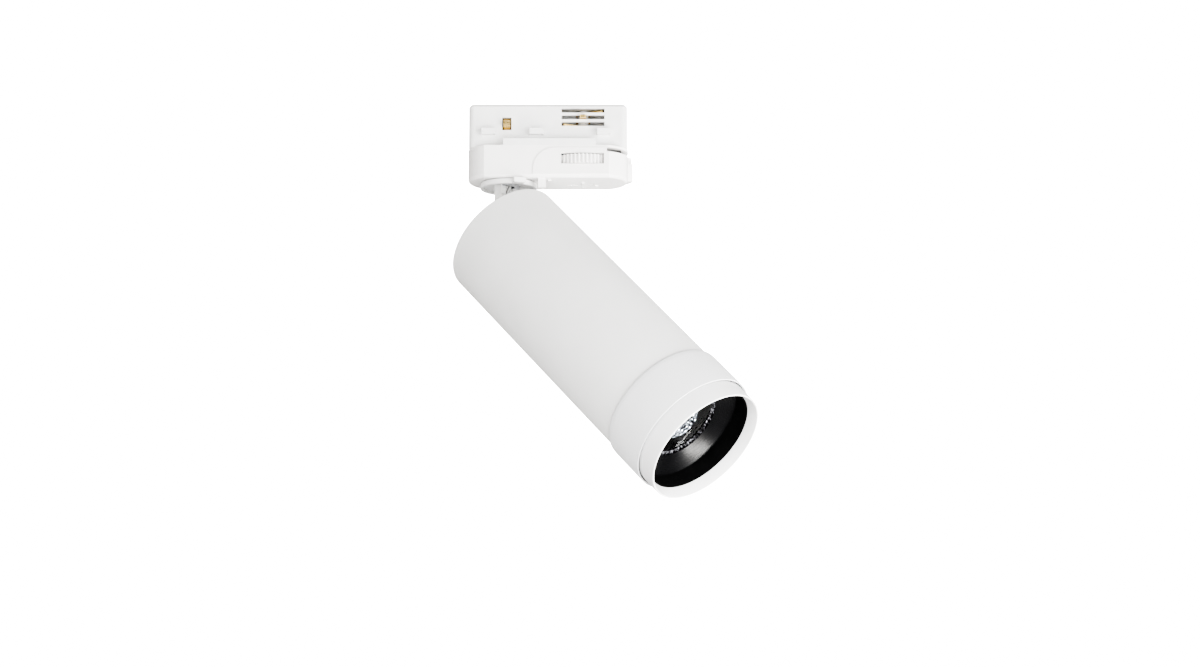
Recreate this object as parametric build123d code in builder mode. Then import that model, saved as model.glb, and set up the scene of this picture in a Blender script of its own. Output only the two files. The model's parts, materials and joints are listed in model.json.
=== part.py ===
from build123d import *
from math import atan2, cos, degrees, radians, sin
import os

os.makedirs("parts", exist_ok=True)

# A spotlight for three-circuit lighting track.
# +Z is up, X runs along the track, and -Y is the side with the thumbwheel.
# The origin is the middle of the face that seats against the underside of the track.

# ---- adapter housing ----
HOUSING_LENGTH = 70.0
HOUSING_WIDTH = 24.4
HOUSING_TOP = -3.05
HOUSING_BOTTOM = -17.45
HOUSING_WALL = 1.6
HOUSING_FLOOR = 1.8
HOUSING_ROOF = 1.05
HOUSING_EDGE_RADIUS = 1.5
LEFT_CREASE_X = -27.7
RIGHT_CREASE_X = 26.65
PANEL_STEP = 0.4
PANEL_LEFT_X = -6.4
PANEL_TOP = -4.2
PANEL_CORNER_RADIUS = 9.5

# ---- part of the adapter that goes into the track ----
NECK_HALF_LENGTH = 34.6
NECK_HALF_WIDTH = 8.2
NECK_WALL = 1.4
NECK_TOP = 16.4
SHOULDER_LEFT_X = -19.5
SHOULDER_RIGHT_X = 21.0
HOOK_BOTTOM = 2.3
HOOK_TOP = 5.0
HOOK_REACH = 11.0

# ---- phase selector ----
SELECTOR_X = 15.3
WHEEL_RADIUS = 13.7
WHEEL_TOP = -7.1
WHEEL_BOTTOM = -11.2
WHEEL_RIBS = 48
WINDOW_LEFT_X = 5.8
WINDOW_RIGHT_X = 24.5
WINDOW_TOP = -6.6
WINDOW_BOTTOM = -11.4
DIAL_RADIUS = 4.85
SELECTOR_STEP = 60.0
CONTACT_LEVELS = (7.5, 10.5, 13.5)
CONTACT_REACH = 10.6

# ---- locking lever ----
LEVER_SLOT_TOP = -4.1
LEVER_SLOT_BOTTOM = -5.85
LEVER_REST_ANGLE = 33.0
LEVER_SWING = 90.0
GRIP_INNER_RADIUS = 13.55
GRIP_OUTER_RADIUS = 16.3
GRIP_WIDTH = 7.0
GRIP_TOP = -7.2
GRIP_BOTTOM = -15.3

# ---- pan swivel ----
PAN_X = -17.36
DISC_RADIUS = 12.4
DISC_TOP = -17.95
DISC_BOTTOM = -20.05
DISC_RECESS = 1.35
NIPPLE_RADIUS = 4.0
NIPPLE_BORE = 2.75
STOP_ANGLE = -69.0
STOP_REACH = 15.4

# ---- arm and tilt pivot ----
ARM_WIDTH = 11.4
ARM_BACK = -3.3
ARM_FRONT = -0.6
ARM_HEAD_FRONT = 0.5
PIVOT_OFFSET = -1.4
PIVOT_Z = -43.1
PIVOT_DEPTH = 1.27
KNUCKLE_RADIUS = 3.0
LUG_RADIUS = 3.4
LUG_THICKNESS = 3.0

# ---- lamp, measured along its axis from its rear end ----
PAN_REST = 36.2
TILT_REST = 43.5
TUBE_RADIUS = 27.2
TUBE_BORE = 25.4
TUBE_LENGTH = 119.5
CAP_REAR = 0.5
CAP_FRONT = 3.5
CAP_RADIUS = 25.35
BOARD_REAR = 12.0
BOARD_FRONT = 61.0
SINK_REAR = 66.0
SINK_BASE = 92.0
SINK_FRONT = 98.0
COLLAR_REAR = 116.3
COLLAR_FRONT = 137.1
COLLAR_RADIUS = 28.35
RING_RADIUS = 27.1
RING_FRONT = 145.7
SLEEVE_FRONT = 126.6
ZOOM_TRAVEL = 5.0
ZOOM_TURN = 100.0
PIN_POSITION = 128.6
PIN_RADIUS = 1.2
LENS_RADIUS = 17.1
LENS_FRONT = 129.0

# ---- directions and planes worked out from the resting pose ----
up = Vector(0, 0, 1)
heading = Vector(cos(radians(PAN_REST)), -sin(radians(PAN_REST)), 0)
hinge_dir = Vector(sin(radians(PAN_REST)), cos(radians(PAN_REST)), 0)
lamp_dir = heading * cos(radians(TILT_REST)) - up * sin(radians(TILT_REST))
lamp_up = heading * sin(radians(TILT_REST)) + up * cos(radians(TILT_REST))
pan_point = Vector(PAN_X, 0, 0)
pivot = pan_point + heading * PIVOT_OFFSET + up * PIVOT_Z
lamp_rear = pivot - lamp_dir * PIVOT_DEPTH
lamp_axis = Axis(lamp_rear, lamp_dir)
lamp_section = Plane(origin=lamp_rear, x_dir=hinge_dir, z_dir=hinge_dir.cross(lamp_dir))
half_width = HOUSING_WIDTH / 2


def lamp_cross(position):
    """Plane across the lamp: local x along the tilt hinge, local y towards the lamp's top."""
    return Plane(origin=lamp_rear + lamp_dir * position, x_dir=hinge_dir, z_dir=lamp_dir)


def pivot_cross(offset):
    """Plane across the tilt hinge at the pivot: local x towards the lamp's top, local y forwards."""
    return Plane(origin=pivot + hinge_dir * offset, x_dir=lamp_up, z_dir=lamp_up.cross(lamp_dir))


def arm_plane(offset):
    """Upright plane across the heading: local x along the tilt hinge, local y up from z = 0."""
    return Plane(origin=pan_point + heading * offset, x_dir=hinge_dir, z_dir=heading)


def outline(*points):
    """Fill a closed straight-sided outline in the open sketch."""
    with BuildLine() as edge:
        Polyline(*points, close=True)
    make_face(edge.edges())


def nearest_corner(sketch, x, y):
    """The sketch's corner nearest to a point."""
    return sketch.vertices().sort_by_distance((x, y, 0))[0]


def housing_outline(inset):
    """Fill the housing's plan outline: two straight sides and two bowed ends."""
    half = half_width - inset
    left_end = -HOUSING_LENGTH / 2 + inset
    right_end = HOUSING_LENGTH / 2 - inset
    with BuildLine() as edge:
        Line((LEFT_CREASE_X, -half), (RIGHT_CREASE_X, -half))
        ThreePointArc((RIGHT_CREASE_X, -half), (right_end, 0), (RIGHT_CREASE_X, half))
        Line((RIGHT_CREASE_X, half), (LEFT_CREASE_X, half))
        ThreePointArc((LEFT_CREASE_X, half), (left_end, 0), (LEFT_CREASE_X, -half))
    make_face(edge.edges())


def block(low, high, mode=Mode.ADD):
    """Box between two opposite corners, in the object's own frame."""
    centre = [(a + b) / 2 for a, b in zip(low, high)]
    with Locations(Location(centre)):
        Box(*[b - a for a, b in zip(low, high)], mode=mode)


# The locking lever turns about the centre of the housing's right-hand end arc.
right_bow = HOUSING_LENGTH / 2 - RIGHT_CREASE_X
end_arc_radius = (right_bow**2 + half_width**2) / (2 * right_bow)
LEVER_X = HOUSING_LENGTH / 2 - end_arc_radius

# ======================================================================
# Adapter housing: two half shells that meet on the plane y = 0
# ======================================================================
BOSS_PLACES = ((-26.2, -9.0), (-4.0, -9.0), (25.0, -13.8))
BOSS_RADIUS = 2.1
SCREW_RADIUS = 1.0
INSERT_SCREW_PLACES = ((-16.5, -9.2), (-16.5, 9.2), (17.5, -9.2), (17.5, 9.2))
INSERT_SCREW_RADIUS = 0.9


def housing_half(keep):
    """One half of the adapter housing: the front half is kept by Keep.TOP."""
    with BuildPart() as shell:
        with BuildSketch(Plane.XY.offset(HOUSING_BOTTOM)):
            housing_outline(0)
        extrude(amount=HOUSING_TOP - HOUSING_BOTTOM)
        fillet(shell.faces().sort_by(Axis.Z)[0].edges(), HOUSING_EDGE_RADIUS)
        with BuildSketch(Plane.XY.offset(HOUSING_BOTTOM + HOUSING_FLOOR)):
            housing_outline(HOUSING_WALL)
        extrude(
            amount=HOUSING_TOP - HOUSING_ROOF - HOUSING_BOTTOM - HOUSING_FLOOR,
            mode=Mode.SUBTRACT,
        )
        # opening in the roof under the neck
        block((-31.5, -6.8, HOUSING_TOP - HOUSING_ROOF), (32.0, 6.8, HOUSING_TOP), Mode.SUBTRACT)
        # raised panel around the thumbwheel window, on both sides
        with BuildSketch(Plane.XZ.offset(half_width), Plane.XZ.offset(-half_width - PANEL_STEP)) as panel:
            outline(
                (PANEL_LEFT_X, HOUSING_BOTTOM + HOUSING_EDGE_RADIUS),
                (RIGHT_CREASE_X, HOUSING_BOTTOM + HOUSING_EDGE_RADIUS),
                (RIGHT_CREASE_X, PANEL_TOP),
                (PANEL_LEFT_X, PANEL_TOP),
            )
            fillet(nearest_corner(panel, PANEL_LEFT_X, PANEL_TOP), PANEL_CORNER_RADIUS)
        extrude(amount=PANEL_STEP)
        block(
            (WINDOW_LEFT_X, -half_width - 2, WINDOW_BOTTOM),
            (WINDOW_RIGHT_X, half_width + 2, WINDOW_TOP),
            Mode.SUBTRACT,
        )
        # screw bosses across the cavity
        with BuildSketch(Plane.XZ.offset(-half_width + HOUSING_WALL)):
            with Locations(*BOSS_PLACES):
                Circle(BOSS_RADIUS)
        extrude(amount=HOUSING_WIDTH - 2 * HOUSING_WALL)
        with BuildSketch(Plane.XZ.offset(half_width - 3.0)):
            with Locations(*BOSS_PLACES):
                Circle(SCREW_RADIUS)
        extrude(amount=-HOUSING_WIDTH, mode=Mode.SUBTRACT)
        with BuildSketch(Plane.XZ.offset(-half_width)):
            with Locations(*BOSS_PLACES):
                Circle(2 * SCREW_RADIUS)
        extrude(amount=1.2, mode=Mode.SUBTRACT)
        # slot in which the locking lever swings
        block(
            (RIGHT_CREASE_X - 0.9, -half_width - 1, LEVER_SLOT_BOTTOM),
            (HOUSING_LENGTH / 2 + 1, half_width - 1.4, LEVER_SLOT_TOP),
            Mode.SUBTRACT,
        )
        # round openings in the floor for the swivel and the selector dial
        with BuildSketch(Plane.XY.offset(HOUSING_BOTTOM)):
            with Locations((PAN_X, 0)):
                Circle(NIPPLE_RADIUS + 0.05)
            with Locations((SELECTOR_X, 0)):
                Circle(DIAL_RADIUS + 0.1)
        extrude(amount=HOUSING_FLOOR, mode=Mode.SUBTRACT)
        # holes for the screws that hold the track insert
        with BuildSketch(Plane.XY.offset(HOUSING_TOP - HOUSING_ROOF)):
            with Locations(*INSERT_SCREW_PLACES):
                Circle(INSERT_SCREW_RADIUS)
        extrude(amount=HOUSING_ROOF, mode=Mode.SUBTRACT)
        # pan stop: a post under the front edge, with a small wedge beside it
        block((-4.2, -10.6, HOUSING_BOTTOM - 4.0), (-0.9, -7.0, HOUSING_BOTTOM + 0.2))
        block((0.1, -7.6, HOUSING_BOTTOM - 0.5), (1.5, -4.6, HOUSING_BOTTOM + 0.2))
        # index marks around the dial
        for mark in range(3):
            angle = radians(90 + SELECTOR_STEP * (mark - 1))
            with Locations(
                Location(
                    (
                        SELECTOR_X + (DIAL_RADIUS + 1.9) * cos(angle),
                        (DIAL_RADIUS + 1.9) * sin(angle),
                        HOUSING_BOTTOM - 0.05,
                    ),
                    (0, 0, degrees(angle)),
                )
            ):
                Box(1.8, 0.5, 0.5)
        split(bisect_by=Plane.XZ, keep=keep)
    return shell.part


with BuildPart() as housing_front:
    add(housing_half(Keep.TOP))
housing_front.part.label = "housing_front"
export_step(housing_front.part, "parts/housing_front.step")

with BuildPart() as housing_rear:
    add(housing_half(Keep.BOTTOM))
housing_rear.part.label = "housing_rear"
export_step(housing_rear.part, "parts/housing_rear.step")

# countersunk self-tapping screws, put in from the rear
with BuildPart() as housing_screws:
    with BuildSketch(Plane.XZ.offset(-half_width)):
        with Locations(*BOSS_PLACES):
            Circle(2 * SCREW_RADIUS - 0.1)
    extrude(amount=1.2)
    with BuildSketch(Plane.XZ.offset(-half_width)):
        with Locations(*BOSS_PLACES):
            RegularPolygon(0.8, 6)
    extrude(amount=0.8, mode=Mode.SUBTRACT)
    with BuildSketch(Plane.XZ.offset(-half_width + 1.2)):
        with Locations(*BOSS_PLACES):
            Circle(SCREW_RADIUS)
    extrude(amount=17.0)
housing_screws.part.label = "housing_screws"
export_step(housing_screws.part, "parts/housing_screws.step")

# ======================================================================
# Track insert: shoulder that seats on the track and hollow neck above it
# ======================================================================
neck_inner = NECK_HALF_WIDTH - NECK_WALL
with BuildPart() as track_insert:
    block(
        (SHOULDER_LEFT_X, -half_width, HOUSING_TOP),
        (SHOULDER_RIGHT_X, half_width, 0),
    )
    with BuildSketch(Plane.XY.offset(HOUSING_TOP)):
        RectangleRounded(2 * NECK_HALF_LENGTH, 2 * NECK_HALF_WIDTH, 2.5)
    extrude(amount=NECK_TOP - HOUSING_TOP)
    chamfer(track_insert.faces().sort_by(Axis.Z)[-1].edges(), 1.0)
    block(
        (-NECK_HALF_LENGTH + NECK_WALL, -neck_inner, HOUSING_TOP),
        (NECK_HALF_LENGTH - NECK_WALL, neck_inner, NECK_TOP - NECK_WALL),
        Mode.SUBTRACT,
    )
    # fixed hooks that reach over the lip of the track on one side
    for hook_x in (-26.0, -5.0, 24.5):
        block((hook_x - 3, -HOOK_REACH, HOOK_BOTTOM), (hook_x + 3, -neck_inner, HOOK_TOP))
    # key rib that lets the adapter go in one way round only
    block((-NECK_HALF_LENGTH + 3, NECK_HALF_WIDTH - 0.2, 11.6), (8.0, NECK_HALF_WIDTH + 1.1, 12.9))
    # window for the turning lock lug
    block(
        (LEVER_X - 3.2, neck_inner - 0.5, HOOK_BOTTOM - 0.4),
        (LEVER_X + 9.6, NECK_HALF_WIDTH + 0.5, HOOK_TOP + 0.4),
        Mode.SUBTRACT,
    )
    # windows for the three phase contacts
    for level in CONTACT_LEVELS:
        block(
            (SELECTOR_X - 9.4, -NECK_HALF_WIDTH - 0.5, level - 0.9),
            (SELECTOR_X + 9.4, -neck_inner + 0.5, level + 0.9),
            Mode.SUBTRACT,
        )
    # windows for the neutral contact and the two earth contacts
    block((-20.0, -NECK_HALF_WIDTH - 0.5, 4.7), (-16.0, -neck_inner + 0.5, 10.3), Mode.SUBTRACT)
    for earth_x in (-20.0, 2.0):
        block(
            (earth_x - 2.0, neck_inner - 0.5, 4.7),
            (earth_x + 2.0, NECK_HALF_WIDTH + 0.5, 10.3),
            Mode.SUBTRACT,
        )
    # bearing bridges inside the neck for the selector shaft and the lever shaft
    block((SELECTOR_X - 4.2, -neck_inner, 0), (LEVER_X + 4.2, neck_inner, 1.6))
    with BuildSketch(Plane.XY):
        with Locations((SELECTOR_X, 0)):
            Circle(2.35)
        with Locations((LEVER_X, 0)):
            Circle(2.55)
    extrude(amount=1.6, mode=Mode.SUBTRACT)
    with BuildSketch(Plane.XY.offset(HOUSING_TOP)):
        with Locations(*INSERT_SCREW_PLACES):
            Circle(INSERT_SCREW_RADIUS)
    extrude(amount=2.4, mode=Mode.SUBTRACT)
track_insert.part.label = "track_insert"
export_step(track_insert.part, "parts/track_insert.step")

with BuildPart() as insert_screws:
    with BuildSketch(Plane.XY.offset(HOUSING_TOP - HOUSING_ROOF - 1.1)):
        with Locations(*INSERT_SCREW_PLACES):
            Circle(1.35)
    extrude(amount=1.1)
    with BuildSketch(Plane.XY.offset(HOUSING_TOP - HOUSING_ROOF)):
        with Locations(*INSERT_SCREW_PLACES):
            Circle(INSERT_SCREW_RADIUS)
    extrude(amount=HOUSING_ROOF + 2.2)
insert_screws.part.label = "insert_screws"
export_step(insert_screws.part, "parts/insert_screws.step")


def spring_contact(x, side, level, reach, strip_bottom):
    """Bent brass strip: an upright tail inside the neck and a nose through its wall."""
    inner = side * (neck_inner - 0.1)
    tail = side * (neck_inner - 0.7)
    with BuildSketch(Plane.YZ.offset(x - 1.5)) as profile:
        outline(
            (tail, strip_bottom),
            (inner, strip_bottom),
            (inner, level - 2.6),
            (side * reach, level - 0.6),
            (side * reach, level + 0.6),
            (inner, level + 2.6),
            (tail, level + 2.6),
        )
    extrude(profile.sketch, amount=3.0)


with BuildPart() as neutral_contact:
    spring_contact(-18.0, -1, 7.5, 10.2, -2.0)
neutral_contact.part.label = "neutral_contact"
export_step(neutral_contact.part, "parts/neutral_contact.step")

with BuildPart() as earth_contacts:
    for earth_x in (-20.0, 2.0):
        spring_contact(earth_x, 1, 7.5, 10.2, 4.0)
    block((-21.5, neck_inner - 0.7, 2.6), (3.5, neck_inner - 0.1, 4.0))
earth_contacts.part.label = "earth_contacts"
export_step(earth_contacts.part, "parts/earth_contacts.step")

# wiper that feeds the turning phase contacts
with BuildPart() as phase_wiper:
    block((SELECTOR_X - 6.0, -1.5, 2.2), (SELECTOR_X - 5.4, 1.5, 5.8))
    block((SELECTOR_X - 5.4, -1.5, 5.2), (SELECTOR_X - 2.45, 1.5, 5.8))
    block((SELECTOR_X - 9.0, -1.5, 1.6), (SELECTOR_X - 5.4, 1.5, 2.2))
phase_wiper.part.label = "phase_wiper"
export_step(phase_wiper.part, "parts/phase_wiper.step")

# ======================================================================
# Locking lever and its lug
# ======================================================================
with BuildPart() as locking_lever:
    plate_bottom = LEVER_SLOT_BOTTOM + 0.2
    plate_top = LEVER_SLOT_TOP - 0.15
    with BuildSketch(Plane.XY.offset(plate_bottom)):
        with Locations((LEVER_X, 0)):
            Circle(3.1)
        with Locations(Location((LEVER_X, 0, 0), (0, 0, LEVER_REST_ANGLE))):
            with Locations((GRIP_OUTER_RADIUS / 2 - 0.1, 0)):
                Rectangle(GRIP_OUTER_RADIUS - 0.3, 4.6)
    extrude(amount=plate_top - plate_bottom)
    # riser outside the housing that carries the grip
    with BuildSketch(Plane.XY.offset(GRIP_TOP)):
        with Locations(Location((LEVER_X, 0, 0), (0, 0, LEVER_REST_ANGLE))):
            with Locations(((GRIP_INNER_RADIUS + GRIP_OUTER_RADIUS) / 2, 0)):
                Rectangle(GRIP_OUTER_RADIUS - GRIP_INNER_RADIUS - 0.4, 4.6)
    extrude(amount=plate_top - GRIP_TOP)
    # curved grip round the end of the housing
    with BuildSketch(Plane.XY.offset(GRIP_BOTTOM)):
        with Locations((LEVER_X, 0)):
            Circle(GRIP_OUTER_RADIUS)
            Circle(GRIP_INNER_RADIUS, mode=Mode.SUBTRACT)
        with Locations(Location((LEVER_X, 0, 0), (0, 0, LEVER_REST_ANGLE))):
            with Locations((GRIP_OUTER_RADIUS, 0)):
                Rectangle(2 * GRIP_OUTER_RADIUS, GRIP_WIDTH, mode=Mode.INTERSECT)
    extrude(amount=GRIP_TOP - GRIP_BOTTOM)
    # stepped shaft up into the neck
    with BuildSketch(Plane.XY.offset(plate_top)):
        with Locations((LEVER_X, 0)):
            Circle(3.1)
    extrude(amount=-0.15 - plate_top)
    with BuildSketch(Plane.XY.offset(-0.15)):
        with Locations((LEVER_X, 0)):
            Circle(2.5)
    extrude(amount=HOOK_TOP + 0.65)
locking_lever.part.label = "locking_lever"
export_step(locking_lever.part, "parts/locking_lever.step")

with BuildPart() as lock_lug:
    with BuildSketch(Plane.XY.offset(HOOK_BOTTOM)):
        with Locations((LEVER_X, 0)):
            Circle(3.9)
        with Locations((LEVER_X, 5.4)):
            Rectangle(4.6, 10.8)
        with Locations((LEVER_X, 0)):
            Circle(2.5, mode=Mode.SUBTRACT)
    extrude(amount=HOOK_TOP - HOOK_BOTTOM)
lock_lug.part.label = "lock_lug"
export_step(lock_lug.part, "parts/lock_lug.step")

# ======================================================================
# Phase selector
# ======================================================================
with BuildPart() as selector_wheel:
    with BuildSketch(Plane.XY.offset(WHEEL_BOTTOM)):
        with Locations((SELECTOR_X, 0)):
            Circle(WHEEL_RADIUS - 0.85)
            with PolarLocations(WHEEL_RADIUS - 0.55, WHEEL_RIBS):
                Circle(0.55)
    extrude(amount=WHEEL_TOP - WHEEL_BOTTOM)
    # dial that shows through the underside of the housing, with a pointer ridge
    with BuildSketch(Plane.XY.offset(HOUSING_BOTTOM + 0.15)):
        with Locations((SELECTOR_X, 0)):
            Circle(DIAL_RADIUS)
    extrude(amount=WHEEL_BOTTOM - HOUSING_BOTTOM)
    with BuildSketch(Plane.XY.offset(HOUSING_BOTTOM - 0.35)):
        with Locations((SELECTOR_X, 1.1)):
            Rectangle(1.1, 6.2)
    extrude(amount=0.8)
selector_wheel.part.label = "selector_wheel"
export_step(selector_wheel.part, "parts/selector_wheel.step")

with BuildPart() as phase_rotor:
    with BuildSketch(Plane.XY.offset(WHEEL_TOP)):
        with Locations((SELECTOR_X, 0)):
            Circle(3.0)
    extrude(amount=-0.15 - WHEEL_TOP)
    with BuildSketch(Plane.XY.offset(-0.15)):
        with Locations((SELECTOR_X, 0)):
            Circle(2.3)
    extrude(amount=14.85)
phase_rotor.part.label = "phase_rotor"
export_step(phase_rotor.part, "parts/phase_rotor.step")

with BuildPart() as rotor_clip:
    with BuildSketch(Plane.XY.offset(1.75)):
        with Locations((SELECTOR_X, 0)):
            Circle(3.5)
            Circle(2.3, mode=Mode.SUBTRACT)
    extrude(amount=0.5)
rotor_clip.part.label = "rotor_clip"
export_step(rotor_clip.part, "parts/rotor_clip.step")

with BuildPart() as phase_contacts:
    for number, level in enumerate(CONTACT_LEVELS):
        direction = -90 + SELECTOR_STEP * (number - 1)
        with BuildSketch(Plane.XY.offset(level - 0.6)):
            with Locations(Location((SELECTOR_X, 0, 0), (0, 0, direction))):
                with Locations((CONTACT_REACH / 2, 0)):
                    RectangleRounded(CONTACT_REACH, 2.8, 0.8)
            with Locations((SELECTOR_X, 0)):
                Circle(3.2)
                Circle(2.3, mode=Mode.SUBTRACT)
        extrude(amount=1.2)
phase_contacts.part.label = "phase_contacts"
export_step(phase_contacts.part, "parts/phase_contacts.step")

# ======================================================================
# Wiring inside the adapter
# ======================================================================


def wire(radius, *points):
    """Round wire with rounded bends through a list of points."""
    with BuildLine() as path:
        FilletPolyline(*points, radius=0.9)
    start = path.line @ 0
    with BuildSketch(Plane(origin=start, z_dir=path.line % 0)) as profile:
        Circle(radius)
    sweep(profile.sketch, path=path.line)


with BuildPart() as terminal_block:
    block((-14.0, -5.5, -9.6), (-8.0, 5.5, -5.6))
    block((-10.2, -5.5, HOUSING_BOTTOM + HOUSING_FLOOR), (-8.0, 5.5, -9.6))
    for side in (-1, 0, 1):
        block((-12.0, side * 3.4 - 1.1, -6.6), (-10.0, side * 3.4 + 1.1, -5.6), Mode.SUBTRACT)
terminal_block.part.label = "terminal_block"
export_step(terminal_block.part, "parts/terminal_block.step")

with BuildPart() as live_lead:
    wire(0.55, (SELECTOR_X - 7.0, 0, 2.8), (-11.0, 0, 2.8), (-11.0, 0, -6.6))
live_lead.part.label = "live_lead"
export_step(live_lead.part, "parts/live_lead.step")

with BuildPart() as neutral_lead:
    wire(0.55, (-18.0, -5.4, -1.4), (-11.0, -3.4, -1.4), (-11.0, -3.4, -6.6))
neutral_lead.part.label = "neutral_lead"
export_step(neutral_lead.part, "parts/neutral_lead.step")

with BuildPart() as earth_lead:
    wire(0.55, (-2.0, 5.4, 3.4), (-11.0, 3.4, 3.4), (-11.0, 3.4, -6.6))
earth_lead.part.label = "earth_lead"
export_step(earth_lead.part, "parts/earth_lead.step")

# ======================================================================
# Pan swivel
# ======================================================================
DISC_CEILING = DISC_BOTTOM + DISC_RECESS
FLOOR_TOP = HOUSING_BOTTOM + HOUSING_FLOOR

with BuildPart() as swivel_disc:
    with BuildSketch(Plane.XY.offset(DISC_BOTTOM)):
        with Locations((PAN_X, 0)):
            Circle(DISC_RADIUS)
        with Locations(Location((PAN_X, 0, 0), (0, 0, STOP_ANGLE))):
            with Locations((STOP_REACH / 2 + 3, 0)):
                Rectangle(STOP_REACH - 6, 5.4)
    extrude(amount=DISC_TOP - DISC_BOTTOM)
    with BuildSketch(Plane.XY.offset(DISC_BOTTOM)):
        with Locations((PAN_X, 0)):
            Circle(DISC_RADIUS - 1.2)
    extrude(amount=DISC_RECESS, mode=Mode.SUBTRACT)
    with BuildSketch(Plane.XY.offset(DISC_CEILING)):
        with Locations((PAN_X, 0)):
            Circle(NIPPLE_RADIUS)
    extrude(amount=DISC_TOP - DISC_CEILING, mode=Mode.SUBTRACT)
    for face in swivel_disc.faces().filter_by(Axis.Z).sort_by(Axis.Z)[:1]:
        chamfer(face.outer_wire().edges(), 0.25)
swivel_disc.part.label = "swivel_disc"
export_step(swivel_disc.part, "parts/swivel_disc.step")

with BuildPart() as pivot_nipple:
    with BuildSketch(Plane.XY.offset(DISC_CEILING - 0.5)):
        with Locations((PAN_X, 0)):
            Circle(5.2)
    extrude(amount=0.5)
    with BuildSketch(Plane.XY.offset(DISC_CEILING)):
        with Locations((PAN_X, 0)):
            Circle(NIPPLE_RADIUS)
    extrude(amount=-12.6 - DISC_CEILING)
    with BuildSketch(Plane.XY.offset(DISC_CEILING - 0.5)):
        with Locations((PAN_X, 0)):
            Circle(NIPPLE_BORE)
    extrude(amount=8.0, mode=Mode.SUBTRACT)
pivot_nipple.part.label = "pivot_nipple"
export_step(pivot_nipple.part, "parts/pivot_nipple.step")

with BuildPart() as nipple_washer:
    with BuildSketch(Plane.XY.offset(FLOOR_TOP + 0.05)):
        with Locations((PAN_X, 0)):
            Circle(6.8)
            Circle(NIPPLE_RADIUS, mode=Mode.SUBTRACT)
    extrude(amount=0.4)
nipple_washer.part.label = "nipple_washer"
export_step(nipple_washer.part, "parts/nipple_washer.step")

with BuildPart() as nipple_nut:
    with BuildSketch(Plane.XY.offset(FLOOR_TOP + 0.45)):
        with Locations((PAN_X, 0)):
            RegularPolygon(6.4, 6)
            Circle(NIPPLE_RADIUS, mode=Mode.SUBTRACT)
    extrude(amount=2.2)
nipple_nut.part.label = "nipple_nut"
export_step(nipple_nut.part, "parts/nipple_nut.step")

# ======================================================================
# Arm between the swivel and the lamp
# ======================================================================
ARM_TOP = DISC_CEILING - 0.6
BLOCK_BOTTOM = -22.8
COVER_BOTTOM = PIVOT_Z + 5.6
ARM_SCREW_HEIGHTS = (-26.5, -35.0)


def arm_box(low_x, high_x, low_z, high_z, back, front, mode=Mode.ADD):
    """Box in the arm's own directions: along the hinge, upright, and along the heading."""
    with BuildSketch(arm_plane(back)) as profile:
        with Locations(((low_x + high_x) / 2, (low_z + high_z) / 2)):
            Rectangle(high_x - low_x, high_z - low_z)
    extrude(profile.sketch, amount=front - back, mode=mode)


half_arm = ARM_WIDTH / 2
with BuildPart() as tilt_arm:
    arm_box(-half_arm, half_arm, PIVOT_Z, ARM_TOP, ARM_BACK, ARM_FRONT)
    arm_box(-half_arm, -half_arm + 3.2, BLOCK_BOTTOM, DISC_CEILING, ARM_BACK, ARM_HEAD_FRONT)
    arm_box(half_arm - 3.2, half_arm, BLOCK_BOTTOM, DISC_CEILING, ARM_BACK, ARM_HEAD_FRONT)
    with BuildSketch(pivot_cross(-half_arm)):
        Circle(KNUCKLE_RADIUS)
    extrude(amount=ARM_WIDTH)
    with BuildSketch(Plane.XY.offset(DISC_CEILING - 0.5)):
        with Locations((PAN_X, 0)):
            Circle(5.2)
    extrude(amount=0.5, mode=Mode.SUBTRACT)
    # channel for the leads, and the gap in the knuckle where they pass the tilt screw
    arm_box(-2.0, 2.0, PIVOT_Z, ARM_TOP, ARM_BACK + 1.0, ARM_FRONT, Mode.SUBTRACT)
    arm_box(-2.0, 2.0, PIVOT_Z - 4, PIVOT_Z + 4.2, -6.0, 3.0, Mode.SUBTRACT)
    with BuildSketch(pivot_cross(-half_arm)):
        Circle(1.55)
    extrude(amount=ARM_WIDTH, mode=Mode.SUBTRACT)
    with BuildSketch(arm_plane(ARM_FRONT)):
        with Locations(*[(side * 3.9, z) for side in (-1, 1) for z in ARM_SCREW_HEIGHTS]):
            Circle(0.6)
    extrude(amount=-2.0, mode=Mode.SUBTRACT)
tilt_arm.part.label = "tilt_arm"
export_step(tilt_arm.part, "parts/tilt_arm.step")

with BuildPart() as arm_cover:
    arm_box(-half_arm + 0.1, half_arm - 0.1, COVER_BOTTOM, BLOCK_BOTTOM - 0.1, ARM_FRONT, 0.4)
    with BuildSketch(arm_plane(0.4)):
        with Locations(*[(side * 3.9, z) for side in (-1, 1) for z in ARM_SCREW_HEIGHTS]):
            Circle(1.15)
    extrude(amount=-0.6, mode=Mode.SUBTRACT)
    with BuildSketch(arm_plane(0.4)):
        with Locations(*[(side * 3.9, z) for side in (-1, 1) for z in ARM_SCREW_HEIGHTS]):
            Circle(0.6)
    extrude(amount=-1.0, mode=Mode.SUBTRACT)
arm_cover.part.label = "arm_cover"
export_step(arm_cover.part, "parts/arm_cover.step")

with BuildPart() as arm_screws:
    with BuildSketch(arm_plane(-0.2)):
        with Locations(*[(side * 3.9, z) for side in (-1, 1) for z in ARM_SCREW_HEIGHTS]):
            Circle(1.1)
    extrude(amount=0.5)
    with BuildSketch(arm_plane(-0.2)):
        with Locations(*[(side * 3.9, z) for side in (-1, 1) for z in ARM_SCREW_HEIGHTS]):
            Circle(0.6)
    extrude(amount=-2.2)
arm_screws.part.label = "arm_screws"
export_step(arm_screws.part, "parts/arm_screws.step")

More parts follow.
